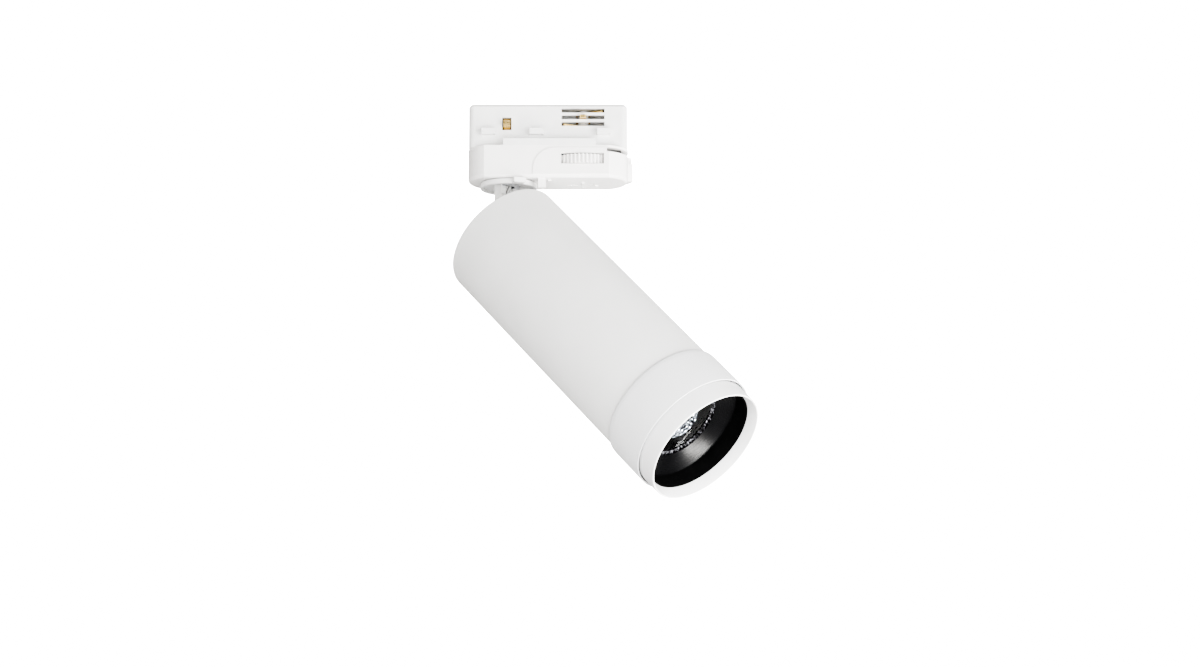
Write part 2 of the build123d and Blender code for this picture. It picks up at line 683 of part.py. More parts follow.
with BuildPart() as arm_leads:
    for side in (-1, 1):
        start = pan_point + hinge_dir * side + up * -12.0
        middle = pan_point + hinge_dir * side + up * -18.9
        inside = pan_point + heading * -1.4 + hinge_dir * side + up * -20.6
        above = pan_point + heading * -1.4 + hinge_dir * side + up * (PIVOT_Z + 4.0)
        front = pan_point + heading * 1.0 + hinge_dir * side + up * (PIVOT_Z + 1.6)
        end = pan_point + heading * 1.0 + hinge_dir * side + up * (PIVOT_Z - 2.4)
        wire(0.5, start, middle, inside, above, front, end)
arm_leads.part.label = "arm_leads"
export_step(arm_leads.part, "parts/arm_leads.step")

# ======================================================================
# Lamp body, back cap and tilt hinge
# ======================================================================
STANDOFF_ANGLES = (35.0, 145.0, 270.0)
SLEEVE_SCREW_ANGLES = (60.0, 180.0, 300.0)
SLEEVE_SCREW_CIRCLE = 20.4
STANDOFF_RADIUS = 21.0
SLOT_HALF = half_arm + 0.6
SLOT_LOW = -3.5
SLOT_HIGH = 5.4


def turned(*points):
    """Solid of revolution about the lamp's axis from (radius, position) corners."""
    with BuildSketch(lamp_section) as profile:
        outline(*points)
    revolve(profile.sketch, axis=lamp_axis)


def tube(inner, outer, start, end, mode=Mode.ADD):
    """Hollow cylinder on the lamp's axis."""
    with BuildSketch(lamp_cross(start)) as profile:
        Circle(outer)
        Circle(inner, mode=Mode.SUBTRACT)
    extrude(profile.sketch, amount=end - start, mode=mode)


def rod(places, radius, start, end, mode=Mode.ADD):
    """Round bars parallel to the lamp's axis."""
    with BuildSketch(lamp_cross(start)) as profile:
        with Locations(*places):
            Circle(radius)
    extrude(profile.sketch, amount=end - start, mode=mode)


def slab(low_x, high_x, low_y, high_y, start, end, mode=Mode.ADD):
    """Box in the lamp's own directions: along the hinge, towards the top, along the axis."""
    with BuildSketch(lamp_cross(start)) as profile:
        with Locations(((low_x + high_x) / 2, (low_y + high_y) / 2)):
            Rectangle(high_x - low_x, high_y - low_y)
    extrude(profile.sketch, amount=end - start, mode=mode)


def on_circle(radius, angles):
    """Points on a circle about the lamp's axis."""
    return [(radius * cos(radians(a)), radius * sin(radians(a))) for a in angles]


SNAP_REAR = 117.5
SNAP_FRONT = 118.3
with BuildPart() as body_tube:
    with BuildSketch(lamp_section):
        outline(
            (TUBE_BORE, 0),
            (TUBE_RADIUS, 0),
            (TUBE_RADIUS, SNAP_REAR),
            (TUBE_RADIUS - 0.6, SNAP_REAR),
            (TUBE_RADIUS - 0.6, SNAP_FRONT),
            (TUBE_RADIUS, SNAP_FRONT),
            (TUBE_RADIUS, TUBE_LENGTH),
            (TUBE_BORE, TUBE_LENGTH),
        )
    revolve(axis=lamp_axis)
    rear_edge = body_tube.edges().filter_by(GeomType.CIRCLE).sort_by_distance(lamp_rear)
    fillet([edge for edge in rear_edge if abs(edge.radius - TUBE_RADIUS) < 0.01][:1], 0.6)
body_tube.part.label = "body_tube"
export_step(body_tube.part, "parts/body_tube.step")

standoff_places = on_circle(STANDOFF_RADIUS, STANDOFF_ANGLES)
sleeve_screw_places = on_circle(SLEEVE_SCREW_CIRCLE, SLEEVE_SCREW_ANGLES)
with BuildPart() as back_cap:
    rod([(0, 0)], CAP_RADIUS, CAP_REAR, CAP_FRONT)
    with BuildSketch(pivot_cross(-SLOT_HALF - LUG_THICKNESS), pivot_cross(SLOT_HALF)):
        Circle(LUG_RADIUS)
    extrude(amount=LUG_THICKNESS)
    slab(-SLOT_HALF, SLOT_HALF, SLOT_LOW, SLOT_HIGH, -3, 8, Mode.SUBTRACT)
    lug_face = SLOT_HALF + LUG_THICKNESS
    slab(-lug_face - 3.5, -lug_face, -3.5, 3.5, -3, 8, Mode.SUBTRACT)
    slab(lug_face, lug_face + 3.5, -3.5, 3.5, -3, 8, Mode.SUBTRACT)
    with BuildSketch(pivot_cross(-lug_face)):
        Circle(1.5)
    extrude(amount=2 * lug_face, mode=Mode.SUBTRACT)
    rod(standoff_places, 1.5, CAP_REAR, CAP_FRONT, Mode.SUBTRACT)
    rod(standoff_places, 2.7, CAP_REAR, CAP_REAR + 1.5, Mode.SUBTRACT)
    # vent slots each side of the hinge
    for column in range(5):
        for side in (-1, 1):
            offset = side * (9.5 + 2.6 * column)
            slab(-8, 8, offset - 0.6, offset + 0.6, 0, 4, Mode.SUBTRACT)
back_cap.part.label = "back_cap"
export_step(back_cap.part, "parts/back_cap.step")

with BuildPart() as cap_screws:
    rod(standoff_places, 2.7, CAP_REAR + 0.1, CAP_REAR + 1.5)
    with BuildSketch(lamp_cross(CAP_REAR + 0.1)):
        with Locations(*standoff_places):
            RegularPolygon(1.3, 6)
    extrude(amount=0.9, mode=Mode.SUBTRACT)
    rod(standoff_places, 1.5, CAP_REAR + 1.5, CAP_FRONT + 6)
cap_screws.part.label = "cap_screws"
export_step(cap_screws.part, "parts/cap_screws.step")

with BuildPart() as standoffs:
    with BuildSketch(lamp_cross(CAP_FRONT)):
        with Locations(*standoff_places):
            RegularPolygon(2.9, 6)
    extrude(amount=SINK_REAR - CAP_FRONT)
    rod(standoff_places, 1.5, CAP_FRONT, CAP_FRONT + 6.5, Mode.SUBTRACT)
standoffs.part.label = "standoffs"
export_step(standoffs.part, "parts/standoffs.step")

with BuildPart() as tilt_screw:
    with BuildSketch(pivot_cross(-lug_face - 1.9)):
        Circle(2.7)
    extrude(amount=1.9)
    with BuildSketch(pivot_cross(-lug_face - 1.9)):
        RegularPolygon(1.4, 6)
    extrude(amount=1.2, mode=Mode.SUBTRACT)
    with BuildSketch(pivot_cross(-lug_face)):
        Circle(1.5)
    extrude(amount=2 * lug_face + 2.6)
tilt_screw.part.label = "tilt_screw"
export_step(tilt_screw.part, "parts/tilt_screw.step")

with BuildPart() as tilt_nut:
    with BuildSketch(pivot_cross(lug_face)):
        RegularPolygon(3.1, 6)
        Circle(1.5, mode=Mode.SUBTRACT)
    extrude(amount=2.2)
tilt_nut.part.label = "tilt_nut"
export_step(tilt_nut.part, "parts/tilt_nut.step")

with BuildPart() as friction_washers:
    with BuildSketch(pivot_cross(half_arm + 0.05), pivot_cross(-SLOT_HALF)):
        Circle(2.95)
        Circle(1.5, mode=Mode.SUBTRACT)
    extrude(amount=0.55)
friction_washers.part.label = "friction_washers"
export_step(friction_washers.part, "parts/friction_washers.step")

# ======================================================================
# Driver
# ======================================================================
with BuildPart() as driver_bracket:
    slab(-19.0, 19.0, -11.0, -9.8, BOARD_REAR, BOARD_FRONT)
    slab(-19.0, -17.8, -9.8, -7.2, BOARD_REAR, BOARD_FRONT)
    slab(17.8, 19.0, -9.8, -7.2, BOARD_REAR, BOARD_FRONT)
    slab(-6.0, 6.0, -11.0, -9.8, BOARD_FRONT, SINK_REAR)
driver_bracket.part.label = "driver_bracket"
export_step(driver_bracket.part, "parts/driver_bracket.step")

with BuildPart() as driver_board:
    slab(-20.0, 20.0, -7.2, -5.6, BOARD_REAR, BOARD_FRONT)
driver_board.part.label = "driver_board"
export_step(driver_board.part, "parts/driver_board.step")

with BuildPart() as transformer_core:
    slab(-9.0, 9.0, -5.6, 12.0, 34.0, 39.0)
    slab(-9.0, 9.0, -5.6, 12.0, 49.0, 54.0)
    slab(-3.5, 3.5, -1.0, 8.0, 39.0, 49.0)
transformer_core.part.label = "transformer_core"
export_step(transformer_core.part, "parts/transformer_core.step")

with BuildPart() as transformer_winding:
    slab(-8.0, 8.0, -5.2, 12.2, 39.0, 49.0)
    slab(-3.5, 3.5, -1.0, 8.0, 39.0, 49.0, Mode.SUBTRACT)
transformer_winding.part.label = "transformer_winding"
export_step(transformer_winding.part, "parts/transformer_winding.step")

with BuildPart() as driver_capacitors:
    for place, radius, height in (((-12.5, 22.0), 4.0, 14.0), ((-3.0, 24.0), 5.0, 16.0), ((-14.0, 57.0), 2.6, 9.0)):
        base = lamp_rear + lamp_dir * place[1] + hinge_dir * place[0] + lamp_up * -5.6
        with BuildSketch(Plane(origin=base, x_dir=hinge_dir, z_dir=lamp_up)):
            Circle(radius)
        extrude(amount=height)
driver_capacitors.part.label = "driver_capacitors"
export_step(driver_capacitors.part, "parts/driver_capacitors.step")

with BuildPart() as driver_inductor:
    coil = lamp_rear + lamp_dir * 22.5 + hinge_dir * 10.5 + lamp_up * -5.6
    with BuildSketch(Plane(origin=coil, x_dir=hinge_dir, z_dir=lamp_up)):
        Circle(6.2)
        Circle(2.6, mode=Mode.SUBTRACT)
    extrude(amount=5.6)
driver_inductor.part.label = "driver_inductor"
export_step(driver_inductor.part, "parts/driver_inductor.step")

with BuildPart() as input_socket:
    slab(-5.0, 5.0, -5.6, -0.6, 13.0, 18.0)
input_socket.part.label = "input_socket"
export_step(input_socket.part, "parts/input_socket.step")

with BuildPart() as head_leads:
    for side in (-1, 1):
        start = lamp_rear + lamp_dir * 8.0 + hinge_dir * side * 1.5 + lamp_up * 3.0
        corner = lamp_rear + lamp_dir * 15.0 + hinge_dir * side * 1.5 + lamp_up * 3.0
        wire(0.6, start, corner, corner + lamp_up * -3.6)
head_leads.part.label = "head_leads"
export_step(head_leads.part, "parts/head_leads.step")

# ======================================================================
# Heat sink and light source
# ======================================================================
with BuildPart() as heat_sink:
    rod([(0, 0)], TUBE_BORE - 0.1, SINK_BASE, SINK_FRONT)
    with BuildSketch(lamp_cross(SINK_REAR)):
        for fin in range(-7, 8):
            with Locations((fin * 3.2, 0)):
                Rectangle(1.2, 60)
        Rectangle(46, 1.6)
        Circle(TUBE_BORE - 0.1, mode=Mode.INTERSECT)
    extrude(amount=SINK_BASE - SINK_REAR)
    rod(on_circle(14.5, (0, 180)), 1.0, SINK_FRONT - 4, SINK_FRONT, Mode.SUBTRACT)
    rod(sleeve_screw_places, 1.2, SINK_FRONT - 4, SINK_FRONT, Mode.SUBTRACT)
    # wire way from the driver to the light source
    rod([(0, -15.6)], 2.0, SINK_REAR, SINK_FRONT, Mode.SUBTRACT)
heat_sink.part.label = "heat_sink"
export_step(heat_sink.part, "parts/heat_sink.step")

with BuildPart() as led_leads:
    for side in (-1, 1):
        origin = lamp_rear + hinge_dir * side * 0.8
        wire(
            0.5,
            origin + lamp_dir * 60 + lamp_up * -12.4,
            origin + lamp_dir * 64 + lamp_up * -15.6,
            origin + lamp_dir * 98.9 + lamp_up * -15.6,
        )
led_leads.part.label = "led_leads"
export_step(led_leads.part, "parts/led_leads.step")

with BuildPart() as led_board:
    slab(-9.5, 9.5, -9.5, 9.5, SINK_FRONT, SINK_FRONT + 1.2)
led_board.part.label = "led_board"
export_step(led_board.part, "parts/led_board.step")

with BuildPart() as led_emitter:
    rod([(0, 0)], 5.5, SINK_FRONT + 1.2, SINK_FRONT + 1.7)
led_emitter.part.label = "led_emitter"
export_step(led_emitter.part, "parts/led_emitter.step")

with BuildPart() as led_holder:
    rod([(0, 0)], 16.8, SINK_FRONT, SINK_FRONT + 2.4)
    slab(-9.5, 9.5, -9.5, 9.5, SINK_FRONT, SINK_FRONT + 1.2, Mode.SUBTRACT)
    rod([(0, 0)], 6.6, SINK_FRONT, SINK_FRONT + 3, Mode.SUBTRACT)
    rod(on_circle(14.5, (0, 180)), 1.0, SINK_FRONT, SINK_FRONT + 3, Mode.SUBTRACT)
    rod([(0, -15.6)], 2.2, SINK_FRONT, SINK_FRONT + 3, Mode.SUBTRACT)
led_holder.part.label = "led_holder"
export_step(led_holder.part, "parts/led_holder.step")

with BuildPart() as holder_screws:
    rod(on_circle(14.5, (0, 180)), 1.9, SINK_FRONT + 2.4, SINK_FRONT + 3.8)
    rod(on_circle(14.5, (0, 180)), 1.0, SINK_FRONT - 3.5, SINK_FRONT + 2.4)
holder_screws.part.label = "holder_screws"
export_step(holder_screws.part, "parts/holder_screws.step")

with BuildPart() as optic_holder:
    turned(
        (11.2, SINK_FRONT + 2.4),
        (12.3, SINK_FRONT + 2.4),
        (12.3, 113.2),
        (11.2, 113.2),
    )
optic_holder.part.label = "optic_holder"
export_step(optic_holder.part, "parts/optic_holder.step")

with BuildPart() as primary_optic:
    turned(
        (0, SINK_FRONT + 2.6),
        (4.6, SINK_FRONT + 2.6),
        (7.4, 104.2),
        (10.0, 110.4),
        (11.2, 110.4),
        (11.2, 112.2),
        (0, 112.2),
    )
primary_optic.part.label = "primary_optic"
export_step(primary_optic.part, "parts/primary_optic.step")

with BuildPart() as inner_cone:
    turned(
        (12.4, 112.0),
        (22.2, 116.4),
        (22.2, SINK_FRONT + 2.0),
        (23.2, SINK_FRONT + 2.0),
        (23.2, 117.6),
        (22.2, 117.6),
        (12.4, 113.2),
    )
inner_cone.part.label = "inner_cone"
export_step(inner_cone.part, "parts/inner_cone.step")

KEY_ANGLES = (90, 210, 330)
with BuildPart() as guide_sleeve:
    tube(23.6, 25.1, SINK_FRONT, SLEEVE_FRONT)
    tube(18.2, 25.1, SINK_FRONT, SINK_FRONT + 2.0)
    rod(sleeve_screw_places, 1.2, SINK_FRONT, SINK_FRONT + 2.0, Mode.SUBTRACT)
    with BuildSketch(lamp_cross(119.4)):
        with PolarLocations(24.3, 3, start_angle=90):
            Rectangle(4.0, 2.4)
    extrude(amount=10, mode=Mode.SUBTRACT)
guide_sleeve.part.label = "guide_sleeve"
export_step(guide_sleeve.part, "parts/guide_sleeve.step")

with BuildPart() as sleeve_screws:
    rod(sleeve_screw_places, 1.6, SINK_FRONT + 2.0, SINK_FRONT + 3.5)
    rod(sleeve_screw_places, 1.2, SINK_FRONT - 3.5, SINK_FRONT + 2.0)
sleeve_screws.part.label = "sleeve_screws"
export_step(sleeve_screws.part, "parts/sleeve_screws.step")

with BuildPart() as snap_ring:
    tube(TUBE_RADIUS - 0.6, TUBE_RADIUS + 0.5, SNAP_REAR, SNAP_FRONT)
    slab(-2, 2, 20, 30, SNAP_REAR, SNAP_FRONT, Mode.SUBTRACT)
snap_ring.part.label = "snap_ring"
export_step(snap_ring.part, "parts/snap_ring.step")

# ======================================================================
# Focus collar
# ======================================================================
THREAD_REAR = 119.8
THREAD_FRONT = 131.2
PIN_ANGLES = (30.0, 150.0, 270.0)
GROOVE_MARGIN = 4.0


def helix_grooves():
    """Three helical cutters that leave the tracks for the guide pins."""
    turn = ZOOM_TURN + 2 * GROOVE_MARGIN
    rise_per_degree = ZOOM_TRAVEL / ZOOM_TURN
    start_position = PIN_POSITION - ZOOM_TRAVEL - GROOVE_MARGIN * rise_per_degree
    base = lamp_rear + lamp_dir * start_position
    track = Edge.make_helix(360 * rise_per_degree, turn * rise_per_degree, 26.8, base, lamp_dir)
    outward = ((track @ 0) - base).normalized()
    with BuildPart() as cutter:
        with BuildSketch(Plane(origin=track @ 0, x_dir=outward, z_dir=track % 0)) as profile:
            Rectangle(1.6, 2 * PIN_RADIUS + 0.6)
        sweep(profile.sketch, path=track, is_frenet=True)
    first = degrees(atan2(outward.dot(lamp_up), outward.dot(hinge_dir)))
    wanted = PIN_ANGLES[0] - ZOOM_TURN - GROOVE_MARGIN
    grooves = [cutter.part.rotate(lamp_axis, wanted - first + 120 * copy) for copy in range(3)]
    return grooves
with BuildPart() as focus_collar:
    with BuildSketch(lamp_section):
        with BuildLine():
            ThreePointArc((TUBE_RADIUS + 0.25, COLLAR_REAR), (28.06, 117.2), (COLLAR_RADIUS, 119.3))
            Polyline(
                (COLLAR_RADIUS, 119.3),
                (COLLAR_RADIUS, COLLAR_FRONT - 0.2),
                (COLLAR_RADIUS - 0.2, COLLAR_FRONT),
                (27.85, COLLAR_FRONT),
                (27.5, COLLAR_FRONT - 1.2),
                (27.5, THREAD_FRONT),
                (26.3, THREAD_FRONT),
                (26.3, THREAD_REAR),
                (TUBE_RADIUS + 0.05, THREAD_REAR),
                (TUBE_RADIUS + 0.05, SNAP_FRONT + 0.1),
                (TUBE_RADIUS + 0.6, SNAP_FRONT + 0.1),
                (TUBE_RADIUS + 0.6, SNAP_REAR - 0.1),
                (TUBE_RADIUS + 0.05, SNAP_REAR - 0.1),
                (TUBE_RADIUS + 0.05, COLLAR_REAR),
                (TUBE_RADIUS + 0.25, COLLAR_REAR),
            )
        make_face()
    revolve(axis=lamp_axis)
    add(helix_grooves(), mode=Mode.SUBTRACT)
focus_collar.part.label = "focus_collar"
export_step(focus_collar.part, "parts/focus_collar.step")

# ======================================================================
# Zoom carriage
# ======================================================================
SKIRT_REAR = 124.9
with BuildPart() as front_ring:
    turned(
        (25.2, SKIRT_REAR),
        (26.0, SKIRT_REAR),
        (26.0, 136.5),
        (RING_RADIUS, 136.5),
        (RING_RADIUS, RING_FRONT - 0.3),
        (RING_RADIUS - 0.3, RING_FRONT),
        (26.4, RING_FRONT),
        (25.0, 140.9),
        (25.2, 140.9),
    )
    with BuildSketch(lamp_cross(SKIRT_REAR)):
        with PolarLocations(24.75, 3, start_angle=90):
            Rectangle(1.5, 1.9)
    extrude(amount=2.4)
    # blind holes for the guide pins
    for angle in PIN_ANGLES:
        outward = hinge_dir * cos(radians(angle)) + lamp_up * sin(radians(angle))
        root = lamp_rear + lamp_dir * PIN_POSITION + outward * 26.0
        with BuildSketch(Plane(origin=root, z_dir=outward)):
            Circle(0.7)
        extrude(amount=-0.8, mode=Mode.SUBTRACT)
front_ring.part.label = "front_ring"
export_step(front_ring.part, "parts/front_ring.step")

with BuildPart() as baffle_sleeve:
    tube(24.6, 25.2, 133.7, 140.9)
baffle_sleeve.part.label = "baffle_sleeve"
export_step(baffle_sleeve.part, "parts/baffle_sleeve.step")

with BuildPart() as baffle_cone:
    turned(
        (25.2, 133.7),
        (24.6, 133.7),
        (LENS_RADIUS + 0.1, 129.8),
        (LENS_RADIUS + 0.1, 124.2),
        (16.0, 124.2),
        (16.0, 123.2),
        (LENS_RADIUS + 1.3, 123.2),
        (LENS_RADIUS + 1.3, 129.2),
        (25.2, 132.5),
    )
baffle_cone.part.label = "baffle_cone"
export_step(baffle_cone.part, "parts/baffle_cone.step")

LENS_CURVE = 48.7
LENS_THICKNESS = 4.7
PEBBLE_RADIUS = 8.2
PEBBLE_HEIGHT = 0.7
with BuildPart() as zoom_lens:
    rod([(0, 0)], LENS_RADIUS, LENS_FRONT - 6, LENS_FRONT)
    with Locations(lamp_cross(LENS_FRONT - LENS_THICKNESS + LENS_CURVE).location):
        Sphere(LENS_CURVE, mode=Mode.INTERSECT)
    # raised middle of the front face, moulded with small lenslets
    with BuildSketch(lamp_cross(LENS_FRONT)):
        Circle(PEBBLE_RADIUS)
    extrude(amount=PEBBLE_HEIGHT)
zoom_lens.part.label = "zoom_lens"
export_step(zoom_lens.part, "parts/zoom_lens.step")

with BuildPart() as lens_retainer:
    with BuildSketch(lamp_cross(LENS_FRONT)):
        Circle(LENS_RADIUS)
        Circle(16.3, mode=Mode.SUBTRACT)
        with PolarLocations(16.0, 90):
            Rectangle(1.0, 0.55, mode=Mode.ADD)
    extrude(amount=0.7)
lens_retainer.part.label = "lens_retainer"
export_step(lens_retainer.part, "parts/lens_retainer.step")

with BuildPart() as guide_pins:
    for angle in PIN_ANGLES:
        outward = hinge_dir * cos(radians(angle)) + lamp_up * sin(radians(angle))
        root = lamp_rear + lamp_dir * PIN_POSITION + outward * 26.0
        with BuildSketch(Plane(origin=root, z_dir=outward)):
            Circle(PIN_RADIUS)
        extrude(amount=1.3)
        with BuildSketch(Plane(origin=root, z_dir=outward)):
            Circle(0.7)
        extrude(amount=-0.8)
guide_pins.part.label = "guide_pins"
export_step(guide_pins.part, "parts/guide_pins.step")
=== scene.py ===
"""Track spotlight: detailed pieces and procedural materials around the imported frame."""
import json
from math import acos, atan2, cos, pi, radians, sin, sqrt, tan

import bmesh
import bpy
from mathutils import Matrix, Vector


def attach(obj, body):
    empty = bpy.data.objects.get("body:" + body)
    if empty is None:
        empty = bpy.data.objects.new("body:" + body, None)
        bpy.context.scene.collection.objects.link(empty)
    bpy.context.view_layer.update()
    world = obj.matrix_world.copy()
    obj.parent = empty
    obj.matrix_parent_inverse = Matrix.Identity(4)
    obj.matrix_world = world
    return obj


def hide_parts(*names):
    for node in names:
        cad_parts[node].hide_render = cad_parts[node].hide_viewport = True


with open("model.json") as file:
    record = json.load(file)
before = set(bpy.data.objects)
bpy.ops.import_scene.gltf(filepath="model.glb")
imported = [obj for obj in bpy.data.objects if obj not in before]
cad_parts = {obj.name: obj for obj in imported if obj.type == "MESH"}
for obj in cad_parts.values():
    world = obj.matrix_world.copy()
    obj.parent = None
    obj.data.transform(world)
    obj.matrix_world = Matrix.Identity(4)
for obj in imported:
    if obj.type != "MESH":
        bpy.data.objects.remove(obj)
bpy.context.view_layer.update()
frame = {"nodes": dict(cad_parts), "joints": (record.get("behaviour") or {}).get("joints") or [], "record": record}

MM = 0.001
SEGMENTS = 240  # of every piece turned about the lamp's axis
PIVOT_POSITION = 1.27  # of the tilt pivot along the lamp, from its rear end, in mm

SMOOTH_ANGLE = 32.0  # an edge sharper than this, in degrees, stays a crease
LENS_SMOOTH_ANGLE = 40
TOOTH_SMOOTH_ANGLE = 20
LENSLET_SMOOTH_ANGLE = 50
FILLET_STEPS = 5

# ----------------------------------------------------------------------
# Directions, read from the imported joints
# ----------------------------------------------------------------------
joints = {joint["name"]: joint for joint in frame["joints"]}
LAMP_DIR = Vector(joints["zoom_slide"]["axis"]).normalized()
HINGE_DIR = -Vector(joints["tilt"]["axis"]).normalized()
LAMP_UP = LAMP_DIR.cross(HINGE_DIR)
PIVOT = Vector(joints["tilt"]["pos_m"])
LAMP_REAR = PIVOT - LAMP_DIR * PIVOT_POSITION * MM


def on_lamp(radius, angle, position):
    """Point at a radius, an angle from the hinge direction and a position along the lamp, in mm."""
    around = HINGE_DIR * cos(angle) + LAMP_UP * sin(angle)
    return LAMP_REAR + (around * radius + LAMP_DIR * position) * MM


# ----------------------------------------------------------------------
# Mesh helpers
# ----------------------------------------------------------------------
def make_object(name, mesh):
    obj = bpy.data.objects.new(name, mesh)
    bpy.context.scene.collection.objects.link(obj)
    return obj


def finish_mesh(bm, name, sharp=SMOOTH_ANGLE):
    """Turn a bmesh into an object with smooth faces and sharp creases."""
    bmesh.ops.recalc_face_normals(bm, faces=bm.faces)
    mesh = bpy.data.meshes.new(name)
    bm.to_mesh(mesh)
    bm.free()
    for polygon in mesh.polygons:
        polygon.use_smooth = True
    mesh.set_sharp_from_angle(angle=radians(sharp))
    return make_object(name, mesh)


def rounded(points):
    """Closed profile: each (radius, position, fillet) corner becomes an arc of that fillet."""
    result = []
    count = len(points)
    for index, point in enumerate(points):
        corner = Vector(point[:2])
        fillet = point[2]
        if not fillet:
            result.append(corner)
            continue
        before = (Vector(points[index - 1][:2]) - corner).normalized()
        after = (Vector(points[(index + 1) % count][:2]) - corner).normalized()
        half = acos(max(-1.0, min(1.0, before.dot(after)))) / 2
        reach = fillet / tan(half)
        centre = corner + (before + after).normalized() * (fillet / sin(half))
        first = corner + before * reach - centre
        last = corner + after * reach - centre
        start = atan2(first.y, first.x)
        sweep = (atan2(last.y, last.x) - start + pi) % (2 * pi) - pi
        for step in range(FILLET_STEPS + 1):
            angle = start + sweep * step / FILLET_STEPS
            result.append(centre + Vector((cos(angle), sin(angle))) * fillet)
    return result


def close_ring(bm, sections):
    """Join closed sections, in order round the axis, into one ring."""
    for k, near in enumerate(sections):
        far = sections[(k + 1) % len(sections)]
        for i in range(len(near)):
            j = (i + 1) % len(near)
            bm.faces.new((near[i], near[j], far[j], far[i]))


def lathe(name, profile):
    """Ring swept round the lamp's axis from a closed (radius, position, fillet) profile."""
    points = rounded(profile)
    bm = bmesh.new()
    sections = []
    for k in range(SEGMENTS):
        angle = 2 * pi * k / SEGMENTS
        sections.append([bm.verts.new(on_lamp(p.x, angle, p.y)) for p in points])
    close_ring(bm, sections)
    return finish_mesh(bm, name)


def disc_lathe(name, profile, sharp):
    """Solid swept round the lamp's axis; the profile starts and ends on the axis."""
    bm = bmesh.new()
    first = bm.verts.new(on_lamp(0, 0, profile[0][1]))
    last = bm.verts.new(on_lamp(0, 0, profile[-1][1]))
    middle = profile[1:-1]
    rings = []
    for k in range(SEGMENTS):
        angle = 2 * pi * k / SEGMENTS
        rings.append([bm.verts.new(on_lamp(r, angle, t)) for r, t in middle])
    for k, ring in enumerate(rings):
        following = rings[(k + 1) % SEGMENTS]
        bm.faces.new((first, ring[0], following[0]))
        for i in range(len(middle) - 1):
            bm.faces.new((ring[i], ring[i + 1], following[i + 1], following[i]))
        bm.faces.new((ring[-1], last, following[-1]))
    return finish_mesh(bm, name, sharp)


# ----------------------------------------------------------------------
# Materials
# ----------------------------------------------------------------------
NOISE_LOW = 0.3
NOISE_HIGH = 0.7
RING_SIZE = 0.12  # of the fine rings left by turning, in mm


class Material:
    """Small helper around a node tree with one principled shader."""

    def __init__(self, name, **values):
        self.material = bpy.data.materials.new(name)
        self.material.use_nodes = True
        self.nodes = self.material.node_tree.nodes
        self.links = self.material.node_tree.links
        self.shader = self.nodes["Principled BSDF"]
        self.coords = self.node("ShaderNodeTexCoord").outputs["Object"]
        for key, value in values.items():
            self.shader.inputs[key.replace("_", " ")].default_value = value

    def node(self, kind, **settings):
        made = self.nodes.new(kind)
        for key, value in settings.items():
            setattr(made, key, value)
        return made

    def noise(self, size_mm, detail=2.0, roughness=0.5, vector=None):
        """Noise with features of a given size in millimetres."""
        made = self.node("ShaderNodeTexNoise")
        made.inputs["Scale"].default_value = 1 / (size_mm * MM)
        made.inputs["Detail"].default_value = detail
        made.inputs["Roughness"].default_value = roughness
        self.links.new(vector or self.coords, made.inputs["Vector"])
        return made.outputs["Fac"]

    def remap(self, source, low, high):
        """Stretch the middle of a noise, where nearly all of it lies, to run from low to high."""
        made = self.node("ShaderNodeMapRange")
        made.inputs["From Min"].default_value = NOISE_LOW
        made.inputs["From Max"].default_value = NOISE_HIGH
        made.inputs["To Min"].default_value = low
        made.inputs["To Max"].default_value = high
        self.links.new(source, made.inputs["Value"])
        return made.outputs["Result"]

    def tint(self, source, first, second, start=NOISE_LOW, end=NOISE_HIGH):
        """Colour that runs from one tone to another with a source value."""
        ramp = self.node("ShaderNodeValToRGB")
        ramp.color_ramp.elements[0].position = start
        ramp.color_ramp.elements[0].color = (*first, 1)
        ramp.color_ramp.elements[1].position = end
        ramp.color_ramp.elements[1].color = (*second, 1)
        self.links.new(source, ramp.inputs["Fac"])
        self.links.new(ramp.outputs["Color"], self.shader.inputs["Base Color"])

    def rough(self, source, low, high):
        self.links.new(self.remap(source, low, high), self.shader.inputs["Roughness"])

    def bump(self, source, depth_mm, strength=1.0):
        made = self.node("ShaderNodeBump")
        made.inputs["Distance"].default_value = depth_mm * MM
        made.inputs["Strength"].default_value = strength
        self.links.new(source, made.inputs["Height"])
        self.links.new(made.outputs["Normal"], self.shader.inputs["Normal"])

    def along(self, direction):
        """Coordinates that vary along one direction and not across it."""
        made = self.node("ShaderNodeVectorMath", operation="DOT_PRODUCT")
        made.inputs[1].default_value = direction
        self.links.new(self.coords, made.inputs[0])
        combined = self.node("ShaderNodeCombineXYZ")
        self.links.new(made.outputs["Value"], combined.inputs["X"])
        return combined.outputs["Vector"]


def powder_coat(name, light, dark):
    """Matt paint with a fine orange-peel grain."""
    mat = Material(name, IOR=1.5)
    grain = mat.noise(0.32, 2.5, 0.6)
    mat.tint(mat.noise(14.0, 3.0), dark, light)
    mat.rough(grain, 0.46, 0.6)
    mat.bump(grain, 0.018, 0.55)
    return mat.material


def moulded(name, light, dark, low=0.34, high=0.46, grain_mm=0.16, depth=0.006):
    """Satin plastic or smooth paint; low and high bound its roughness."""
    mat = Material(name, IOR=1.49)
    grain = mat.noise(grain_mm, 2.0, 0.5)
    mat.tint(mat.noise(9.0, 2.0), dark, light)
    mat.rough(mat.noise(2.4, 3.0), low, high)
    mat.bump(grain, depth, 0.6)
    return mat.material


def metal(name, light, dark, low, high):
    """Bare metal with a fine, even grain."""
    mat = Material(name, Metallic=1.0)
    grain = mat.noise(0.5, 3.0, 0.6)
    mat.tint(grain, dark, light)
    mat.rough(grain, low, high)
    mat.bump(grain, 0.004, 0.5)
    return mat.material


